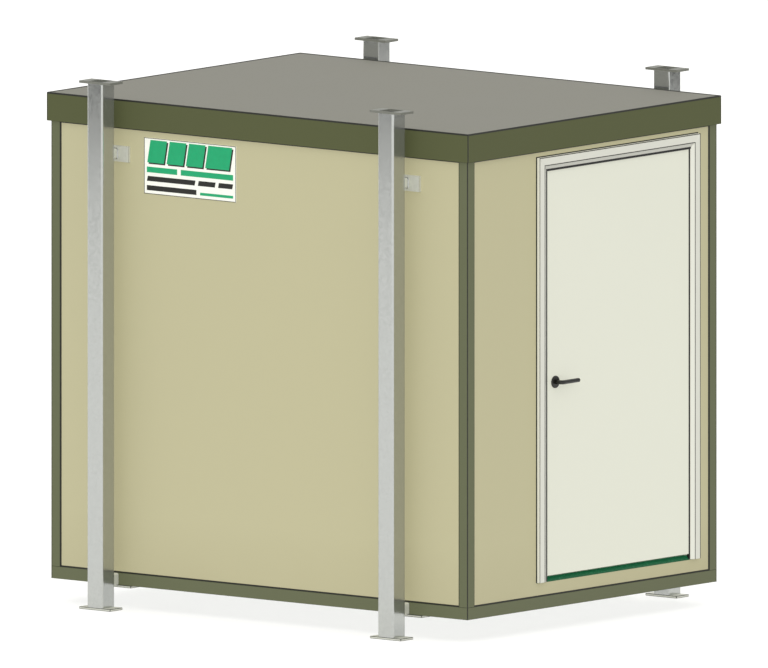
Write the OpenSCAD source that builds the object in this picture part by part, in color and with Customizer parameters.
// Portable site cabin on four fixed stacking legs.
// Millimetres. The origin is on the ground under the middle of the cabin, +Z is up,
// the door is in the end wall at -Y, and the long wall at -X is the left one.

/* [Cabin] */
// Length over the corner posts, along Y
cabin_l = 2675; // [2300:5:6000]
// Width over the corner posts, along X
cabin_w = 1980; // [1650:5:2500]
// Height from the underside of the base rails to the top of the roof
cabin_h = 2448; // [2420:1:3000]
// Free height under the base rails
ground_gap = 115; // [60:1:300]

/* [Base rails and corner posts] */
// Thickness of the folded posts and of the rails' webs, which stand proud of the wall panels
cover_t = 5; // [3:0.5:8]
// Height of a base rail
rail_h = 62; // [50:1:100]
// Width of a base rail's lower flange, which carries the joists
rail_ledge = 100; // [80:1:140]
// Thickness of a base rail's flanges
flange_t = 3; // [2:0.5:5]
// Width of each face of a corner post
post_w = 54; // [40:1:80]

/* [Floor] */
// Height of the finished floor above the underside of the base rails
floor_h = 133; // [110:1:200]
// Thickness of the sheet under the joists
pan_t = 1.5; // [1:0.5:3]
// Width of a joist
joist_w = 60; // [40:1:80]
// Largest spacing of the joists
joist_pitch = 450; // [300:10:600]
// Thickness of the plywood deck
deck_t = 18; // [12:1:25]
// Thickness of the green floor covering
covering_t = 3; // [2:0.5:5]

/* [Walls and roof] */
// Thickness of a sandwich wall panel
wall_t = 50; // [44:1:80]
// Thickness of the sandwich roof panel
roof_panel_t = 110; // [60:1:110]
// Thickness of the roof sheet
roof_sheet_t = 2; // [1:0.5:4]
// How far the roof edge stands out past the corner posts
eaves = 16.5; // [10:0.5:36]
// Height of the roof edge, with the roof sheet
fascia_h = 141; // [120:1:180]
// Thickness of the folded roof edge channel
fascia_t = 2; // [1.5:0.5:4]

/* [Door frame] */
// Outer width of the door frame
frame_w = 1280; // [900:5:1300]
// Height of the door frame above the floor
frame_h = 2142; // [2000:1:2160]
// Distance from the outer face of the right-hand post to the frame
frame_side = 145; // [100:1:300]
// How far the frame stands out from the wall panel
frame_out = 20; // [10:1:30]
// Width of the frame's flat front face
frame_face = 41; // [30:1:60]
// Width of the sloping part of the frame
bevel_w = 25; // [15:1:40]
// How far the slope falls back
bevel_d = 10; // [8:1:14]
// Thickness of the lip behind the slope
lip_t = 18; // [12:1:20]

/* [Door leaf] */
// How far the face of the leaf lies behind the edge of the frame's lip
leaf_set = 7; // [2:0.5:12]
// How far the leaf's back flange laps behind the frame's lip
leaf_lap = 12; // [8:1:14]
// Running gap around the edges of the leaf and of its back flange
leaf_gap = 7; // [6.5:0.5:10]
// Gap under the leaf
leaf_under = 27; // [10:1:40]
// Gap between the leaf's back flange and the lip, which a rubber seal fills
seal_gap = 5; // [5:0.5:8]
// Number of hinges
hinge_n = 3; // [2, 3, 4]
// Distance from an end of the leaf to the middle of the nearest hinge
hinge_end = 250; // [150:10:400]
// Radius of a hinge barrel
barrel_r = 8; // [6:0.5:10]
// Length of one hinge knuckle
knuckle_l = 50; // [30:1:80]
// Radius of a hinge pin
pin_r = 4; // [3:0.5:5]

/* [Lever handles] */
// Height of the handles above the floor
handle_h = 1000; // [900:5:1100]
// Distance from the lock edge of the leaf to the handles
backset = 89; // [70:1:110]
// Radius of a rose
rose_r = 31; // [24:0.5:34]
// Thickness of a rose
rose_t = 8; // [5:0.5:12]
// Radius of the round lever bar
lever_r = 10.5; // [8:0.5:12]
// Distance from the face of the leaf to the middle of the lever
lever_out = 45; // [40:1:60]
// Length of the lever from the middle of its rose
lever_l = 140; // [110:1:160]
// Radius of the spindle through the leaf
spindle_r = 5; // [4:0.5:6]

/* [Legs] */
// Side of the square leg tube
leg_s = 100; // [80:5:120]
// Wall of the leg tube
leg_t = 5; // [4:0.5:8]
// Outer corner radius of the leg tube
leg_r = 10; // [9:0.5:15]
// Gap between the base rail and the leg
leg_gap = 56; // [45:1:100]
// Distance from the end of the cabin to the middle of the nearest leg
leg_end = 403; // [200:1:600]
// How far the legs rise above the roof
leg_rise = 100; // [60:1:200]
// Length of a leg's end plate, along Y
plate_l = 200; // [150:5:300]
// Thickness of a leg's end plate
plate_t = 12; // [8:1:20]

/* [Leg brackets] */
// Height of the wall plate of an upper bracket
wall_plate_h = 80; // [60:1:120]
// Thickness of the wall plate of an upper bracket
wall_plate_t = 15; // [8:1:20]
// Distance from the roof down to the middle of the upper brackets
bracket_drop = 273; // [200:1:400]
// Height of an upper bracket's arm
upper_arm_h = 50; // [40:1:60]
// Width of the bracket arms, along Y
arm_w = 60; // [40:1:80]
// Height of a lower bracket's arm
lower_arm_h = 60; // [40:1:62]
// Corner radius of the bracket arms
arm_r = 8; // [4:0.5:10]
// Length of the plate under the base rail at a leg
under_plate_l = 214; // [150:1:300]
// Width of the plate under the base rail at a leg
under_plate_w = 100; // [60:1:140]

/* [Sign plate] */
// Length of the sign plate, along Y
sign_l = 590; // [300:5:800]
// Height of the sign plate
sign_h = 283; // [150:1:400]
// Thickness of the sign plate
sign_t = 3; // [2:0.5:5]
// Distance from the rear end of the cabin to the sign plate
sign_end = 594; // [550:1:900]
// Distance from the roof down to the sign plate
sign_drop = 179; // [160:1:600]

/* [Hidden] */

// Clearances
mitre_gap = 0.1;
sheet_clear = 1;
floor_clear = 2;
knuckle_clear = 0.3;
barrel_lift = 0.5;
pin_clear = 0.08;
rose_clear = 0.1;
neck_clear = 0.5;
spindle_clear = 5;
cut = 1;

// Plan: outer faces of posts and rails, outer and inner faces of the wall panels
half_w = cabin_w / 2;
half_l = cabin_l / 2;
panel_x = half_w - cover_t;
panel_y = half_l - cover_t;
room_x = panel_x - wall_t;
room_y = panel_y - wall_t;

// Levels
rail_top = ground_gap + rail_h;
pan_z = ground_gap + flange_t;
joist_z = pan_z + pan_t;
floor_z = ground_gap + floor_h;
covering_z = floor_z - covering_t;
deck_z = covering_z - deck_t;
roof_z = ground_gap + cabin_h;
sheet_z = roof_z - roof_sheet_t;
wall_top = sheet_z - roof_panel_t;
fascia_z = roof_z - fascia_h;

// Joists
joist_run = 2 * (room_y - floor_clear) - joist_w;
joist_n = ceil(joist_run / joist_pitch) + 1;

// Door frame: the section is drawn inwards from the frame's outer edge (u) and back from its face (v)
frame_d = frame_out + wall_t;
lip_w = frame_face + bevel_w;
lip_back = bevel_d + lip_t;
rebate_u = lip_w - leaf_lap - leaf_gap;
FRAME_SECTION = [
    [0, 0], [frame_face, 0], [lip_w, bevel_d], [lip_w, lip_back],
    [rebate_u, lip_back], [rebate_u, frame_d], [0, frame_d]
];
frame_x1 = half_w - frame_side;
frame_x0 = frame_x1 - frame_w;
frame_y0 = -panel_y - frame_out;
frame_top = floor_z + frame_h;

// Door leaf, flush with the inner face of the wall: its back flange is larger than its face
leaf_x0 = frame_x0 + lip_w - leaf_lap;
leaf_x1 = frame_x1 - lip_w + leaf_lap;
leaf_y0 = frame_y0 + bevel_d + leaf_set;
leaf_y1 = -room_y;
leaf_t = leaf_y1 - leaf_y0;
leaf_z0 = floor_z + leaf_under;
leaf_z1 = frame_top - lip_w + leaf_lap;
flange_y0 = frame_y0 + lip_back + seal_gap;
face_in = leaf_lap + leaf_gap;
hinge_x = leaf_x1 + leaf_gap / 2;
hinge_y = leaf_y1 + barrel_lift + barrel_r;
hinge_step = (leaf_z1 - leaf_z0 - 2 * hinge_end) / (hinge_n - 1);
hinge_plate_t = 3;
hinge_plate_w = 30;

// Handles
handle_x = leaf_x0 + backset;
handle_z = floor_z + handle_h;
rose_edge = 3;
elbow_r = 18;

// Legs
leg_x = half_w + leg_gap + leg_s / 2;
leg_y = half_l - leg_end;
leg_top = roof_z + leg_rise;
upper_z = roof_z - bracket_drop;
tube_inner_r = leg_r - leg_t;

// Colours
trim_green = "#6b6e56";
panel_beige = "#c8c29e";
roof_grey = "#929288";
zinc = "#c3c5c3";
door_white = "#e6e7d8";
frame_white = "#d9dad0";
handle_black = "#24241e";
covering_green = "#125c38";
plywood = "#b99a6b";
joist_wood = "#c9ab78";
sign_white = "#eef0e6";

// ---- shared shapes ----

// A box from its lowest to its highest corner
module box(low, high) {
    translate(low) cube(high - low);
}

// A rectangle with round corners, centred
module round_rect(w, h, r) {
    square([w - 2 * r, h], center = true);
    square([w, h - 2 * r], center = true);
    for (i = [-1, 1], j = [-1, 1]) {
        translate([i * (w / 2 - r), j * (h / 2 - r)]) circle(r, $fn = 64);
    }
}

// A member of a rectangular ring: its outer face is at y = 0, it runs along X, and both ends
// are mitred at 45 degrees; the section is drawn inwards (x) and up (y)
module mitred_bar(run, depth, height) {
    intersection() {
        translate([-run / 2, 0, 0])
            rotate([90, 0, 90])
                linear_extrude(height = run) children();
        linear_extrude(height = height) polygon([
            [-run / 2 + mitre_gap, 0], [run / 2 - mitre_gap, 0],
            [run / 2 - depth - mitre_gap, depth], [-run / 2 + depth + mitre_gap, depth]
        ]);
    }
}

// The four sides of the ring, with the outer faces grow past the posts
module front_side(grow) {
    translate([0, -half_l - grow, 0]) children();
}
module rear_side(grow) {
    translate([0, half_l + grow, 0]) rotate(180) children();
}
module left_side(grow) {
    translate([-half_w - grow, 0, 0]) rotate(-90) children();
}
module right_side(grow) {
    translate([half_w + grow, 0, 0]) rotate(90) children();
}

// ---- base rails and corner posts ----

module base_rail(run) {
    color(trim_green)
        translate([0, 0, ground_gap])
            mitred_bar(run, rail_ledge, rail_h)
                polygon([
                    [0, 0], [rail_ledge, 0], [rail_ledge, flange_t], [cover_t, flange_t],
                    [cover_t, rail_h - flange_t], [cover_t + wall_t, rail_h - flange_t],
                    [cover_t + wall_t, rail_h], [0, rail_h]
                ]);
}
module base_rail_front() { front_side(0) base_rail(cabin_w); }
module base_rail_rear() { rear_side(0) base_rail(cabin_w); }
module base_rail_left() { left_side(0) base_rail(cabin_l); }
module base_rail_right() { right_side(0) base_rail(cabin_l); }

// The post at the corner towards side_x and side_y
module corner_post(side_x, side_y) {
    color(trim_green)
        translate([side_x * half_w, side_y * half_l, rail_top])
            mirror([side_x > 0 ? 1 : 0, 0, 0])
                mirror([0, side_y > 0 ? 1 : 0, 0])
                    linear_extrude(height = fascia_z - rail_top)
                        polygon([
                            [0, 0], [post_w, 0], [post_w, cover_t],
                            [cover_t, cover_t], [cover_t, post_w], [0, post_w]
                        ]);
}
module corner_post_front_left() { corner_post(-1, -1); }
module corner_post_front_right() { corner_post(1, -1); }
module corner_post_rear_left() { corner_post(-1, 1); }
module corner_post_rear_right() { corner_post(1, 1); }

// ---- floor ----

module floor_pan() {
    color(zinc)
        box([-panel_x + sheet_clear, -panel_y + sheet_clear, pan_z],
            [panel_x - sheet_clear, panel_y - sheet_clear, pan_z + pan_t]);
}

module floor_joists() {
    color(joist_wood)
        for (i = [0 : joist_n - 1]) {
            y = joist_run * (i / (joist_n - 1) - 0.5);
            box([-room_x + floor_clear, y - joist_w / 2, joist_z],
                [room_x - floor_clear, y + joist_w / 2, deck_z]);
        }
}

module floor_deck() {
    color(plywood)
        box([-room_x + floor_clear, -room_y + floor_clear, deck_z],
            [room_x - floor_clear, room_y - floor_clear, covering_z]);
}

// The covering runs out through the doorway to the face of the wall panel
module floor_covering() {
    color(covering_green)
        translate([0, 0, covering_z])
            linear_extrude(height = covering_t)
                polygon([
                    [frame_x0 + sheet_clear, -panel_y], [frame_x1 - sheet_clear, -panel_y],
                    [frame_x1 - sheet_clear, -room_y + floor_clear],
                    [room_x - floor_clear, -room_y + floor_clear],
                    [room_x - floor_clear, room_y - floor_clear],
                    [-room_x + floor_clear, room_y - floor_clear],
                    [-room_x + floor_clear, -room_y + floor_clear],
                    [frame_x0 + sheet_clear, -room_y + floor_clear]
                ]);
}

// ---- walls ----

module wall_left() {
    color(panel_beige) box([-panel_x, -panel_y, rail_top], [-room_x, panel_y, wall_top]);
}
module wall_right() {
    color(panel_beige) box([room_x, -panel_y, rail_top], [panel_x, panel_y, wall_top]);
}
module wall_rear() {
    color(panel_beige) box([-room_x, room_y, rail_top], [room_x, panel_y, wall_top]);
}

// A piece of the front wall between two widths and two levels
module front_panel(x0, x1, z0, z1) {
    color(panel_beige) box([x0, -panel_y, z0], [x1, -room_y, z1]);
}
module wall_front_left() { front_panel(-room_x, frame_x0, rail_top, wall_top); }
module wall_front_right() { front_panel(frame_x1, room_x, rail_top, wall_top); }
module wall_over_door() { front_panel(frame_x0, frame_x1, frame_top, wall_top); }
module wall_under_door() { front_panel(frame_x0, frame_x1, rail_top, covering_z); }

// ---- roof ----

module roof_panel() {
    color(panel_beige) box([-panel_x, -panel_y, wall_top], [panel_x, panel_y, sheet_z]);
}

module roof_sheet() {
    color(roof_grey)
        box([-half_w - eaves, -half_l - eaves, sheet_z], [half_w + eaves, half_l + eaves, roof_z]);
}

// The channel that closes the roof edge, open towards the roof panel
module fascia(run) {
    depth = eaves + cover_t;
    height = fascia_h - roof_sheet_t;
    color(trim_green)
        translate([0, 0, fascia_z])
            mitred_bar(run + 2 * eaves, depth, height)
                polygon([
                    [0, 0], [depth, 0], [depth, fascia_t], [fascia_t, fascia_t],
                    [fascia_t, height - fascia_t], [depth, height - fascia_t],
                    [depth, height], [0, height]
                ]);
}
module fascia_front() { front_side(eaves) fascia(cabin_w); }
module fascia_rear() { rear_side(eaves) fascia(cabin_w); }
module fascia_left() { left_side(eaves) fascia(cabin_l); }
module fascia_right() { right_side(eaves) fascia(cabin_l); }

// ---- door frame ----

module door_frame_head() {
    color(frame_white)
        translate([frame_x0, frame_y0, frame_top])
            intersection() {
                rotate([90, 0, 90])
                    linear_extrude(height = frame_w)
                        polygon([for (p = FRAME_SECTION) [p[1], -p[0]]]);
                translate([0, frame_d, 0])
                    rotate([90, 0, 0])
                        linear_extrude(height = frame_d)
                            polygon([
                                [mitre_gap, 0], [frame_w - mitre_gap, 0],
                                [frame_w - lip_w - mitre_gap, -lip_w], [lip_w + mitre_gap, -lip_w]
                            ]);
            }
}

// A jamb, drawn for the lock side with its outer edge at x = 0
module door_jamb() {
    color(frame_white)
        translate([0, frame_y0, floor_z])
            intersection() {
                linear_extrude(height = frame_h) polygon(FRAME_SECTION);
                translate([0, frame_d, 0])
                    rotate([90, 0, 0])
                        linear_extrude(height = frame_d)
                            polygon([
                                [0, 0], [lip_w, 0],
                                [lip_w, frame_h - lip_w - mitre_gap], [0, frame_h - mitre_gap]
                            ]);
            }
}
module door_jamb_lock() { translate([frame_x0, 0, 0]) door_jamb(); }
module door_jamb_hinge() { translate([frame_x1, 0, 0]) mirror([1, 0, 0]) door_jamb(); }

// ---- door leaf and hinges ----

module door_leaf() {
    color(door_white)
        difference() {
            union() {
                box([leaf_x0 + face_in, leaf_y0, leaf_z0], [leaf_x1 - face_in, leaf_y1, leaf_z1 - face_in]);
                box([leaf_x0, flange_y0, leaf_z0], [leaf_x1, leaf_y1, leaf_z1]);
            }
            translate([handle_x, leaf_y1 + cut, handle_z])
                rotate([90, 0, 0])
                    cylinder(h = leaf_t + 2 * cut, r = spindle_r + spindle_clear, $fn = 64);
        }
}

// Puts its children at the middle of every hinge, on the pin's axis
module each_hinge() {
    for (i = [0 : hinge_n - 1]) {
        translate([hinge_x, hinge_y, leaf_z0 + hinge_end + i * hinge_step]) children();
    }
}

// The plate of a knuckle, against the face that it is screwed to, towards side_x
module hinge_plate(side_x, z0) {
    x0 = side_x > 0 ? 0 : -hinge_plate_w;
    y0 = -barrel_r - barrel_lift;
    translate([x0, y0, z0]) cube([hinge_plate_w, hinge_plate_t, knuckle_l]);
}

// Lower knuckles on the frame, each with its pin
module hinge_knuckles_frame() {
    color(zinc)
        each_hinge() {
            translate([0, 0, -knuckle_l]) cylinder(h = knuckle_l, r = barrel_r, $fn = 64);
            hinge_plate(1, -knuckle_l);
            cylinder(h = knuckle_l, r = pin_r, $fn = 64);
        }
}

// Upper knuckles on the leaf, which turn on the pins
module hinge_knuckles_door() {
    color(zinc)
        each_hinge() {
            difference() {
                union() {
                    translate([0, 0, knuckle_clear]) cylinder(h = knuckle_l, r = barrel_r, $fn = 64);
                    hinge_plate(-1, knuckle_clear);
                }
                translate([0, 0, knuckle_clear - cut])
                    cylinder(h = knuckle_l + 2 * cut, r = pin_r + pin_clear, $fn = 64);
            }
        }
}

// ---- handles ----

// Both roses stand on the faces of the leaf, around the necks of the levers
module rose() {
    rotate_extrude($fn = 96)
        polygon([
            [lever_r + rose_clear, 0], [rose_r, 0], [rose_r, rose_t - rose_edge],
            [rose_r - rose_edge, rose_t], [lever_r + rose_clear, rose_t]
        ]);
}
module door_roses() {
    color(handle_black) {
        translate([handle_x, leaf_y0, handle_z]) rotate([90, 0, 0]) rose();
        translate([handle_x, leaf_y1, handle_z]) rotate([-90, 0, 0]) rose();
    }
}

// A lever whose neck rises along Z from the face of the leaf and bends over towards +X
module lever() {
    neck_l = lever_out - elbow_r;
    bar_l = lever_l - elbow_r - lever_r;
    translate([0, 0, neck_clear]) cylinder(h = neck_l - neck_clear, r = lever_r, $fn = 64);
    translate([elbow_r, 0, neck_l])
        rotate([90, 0, 180])
            rotate_extrude(angle = 90, $fn = 64)
                translate([elbow_r, 0]) circle(lever_r, $fn = 64);
    translate([elbow_r, 0, lever_out]) rotate([0, 90, 0]) cylinder(h = bar_l, r = lever_r, $fn = 64);
    translate([elbow_r + bar_l, 0, lever_out]) sphere(lever_r, $fn = 64);
}

// Both levers are fixed to one spindle
module lever_handle() {
    color(handle_black) {
        translate([handle_x, leaf_y0, handle_z]) rotate([90, 0, 0]) lever();
        translate([handle_x, leaf_y1, handle_z]) rotate([-90, 0, 0]) lever();
        translate([handle_x, leaf_y1 + rose_t, handle_z])
            rotate([90, 0, 0])
                cylinder(h = leaf_t + 2 * rose_t, r = spindle_r, $fn = 64);
    }
}

// ---- legs ----

// Puts its children at all four legs, with +X of each copy pointing away from the cabin
module each_leg() {
    for (side_x = [-1, 1], side_y = [-1, 1]) {
        at_leg(side_x, side_y) children();
    }
}
module at_leg(side_x, side_y) {
    translate([side_x * leg_x, side_y * leg_y, 0])
        mirror([side_x < 0 ? 1 : 0, 0, 0]) children();
}

module leg(side_x, side_y) {
    color(zinc)
        at_leg(side_x, side_y)
            translate([0, 0, plate_t])
                linear_extrude(height = leg_top - 2 * plate_t)
                    difference() {
                        round_rect(leg_s, leg_s, leg_r);
                        leg_bore();
                    }
}
module leg_bore() {
    round_rect(leg_s - 2 * leg_t, leg_s - 2 * leg_t, tube_inner_r);
}
module leg_front_left() { leg(-1, -1); }
module leg_front_right() { leg(1, -1); }
module leg_rear_left() { leg(-1, 1); }
module leg_rear_right() { leg(1, 1); }

module leg_base_plates() {
    color(zinc)
        each_leg() translate([-leg_s / 2, -plate_l / 2, 0]) cube([leg_s, plate_l, plate_t]);
}

// The top plates leave the bore of the tube open for the pin of a cabin stacked above
module leg_top_plates() {
    color(zinc)
        each_leg()
            translate([0, 0, leg_top - plate_t])
                linear_extrude(height = plate_t)
                    difference() {
                        square([leg_s, plate_l], center = true);
                        leg_bore();
                    }
}

// ---- leg brackets ----

// An arm of the given height from an inner face at x0, measured from the leg's middle, to the leg
module bracket_arm(x0, height) {
    translate([x0, 0, 0])
        rotate([90, 0, 90])
            linear_extrude(height = -leg_s / 2 - x0) round_rect(arm_w, height, arm_r);
}

module upper_brackets() {
    panel_off = panel_x - leg_x;
    color(zinc)
        each_leg()
            translate([0, 0, upper_z]) {
                translate([panel_off, -plate_l / 2, -wall_plate_h / 2])
                    cube([wall_plate_t, plate_l, wall_plate_h]);
                bracket_arm(panel_off + wall_plate_t, upper_arm_h);
            }
}

module lower_bracket_arms() {
    color(zinc)
        each_leg()
            translate([0, 0, ground_gap + lower_arm_h / 2]) bracket_arm(half_w - leg_x, lower_arm_h);
}

module lower_bracket_plates() {
    color(zinc)
        each_leg()
            translate([half_w - leg_x - under_plate_w, -under_plate_l / 2, ground_gap - plate_t])
                cube([under_plate_w, under_plate_l, plate_t]);
}

// ---- sign plate ----

module sign_plate() {
    y1 = half_l - sign_end;
    z1 = roof_z - sign_drop;
    color(sign_white) box([-panel_x - sign_t, y1 - sign_l, z1 - sign_h], [-panel_x, y1, z1]);
}

base_rail_front();
base_rail_rear();
base_rail_left();
base_rail_right();
corner_post_front_left();
corner_post_front_right();
corner_post_rear_left();
corner_post_rear_right();
floor_pan();
floor_joists();
floor_deck();
floor_covering();
wall_left();
wall_right();
wall_rear();
wall_front_left();
wall_front_right();
wall_over_door();
wall_under_door();
roof_panel();
roof_sheet();
fascia_front();
fascia_rear();
fascia_left();
fascia_right();
door_frame_head();
door_jamb_lock();
door_jamb_hinge();
door_leaf();
hinge_knuckles_frame();
hinge_knuckles_door();
door_roses();
lever_handle();
leg_front_left();
leg_front_right();
leg_rear_left();
leg_rear_right();
leg_base_plates();
leg_top_plates();
upper_brackets();
lower_bracket_arms();
lower_bracket_plates();
sign_plate();
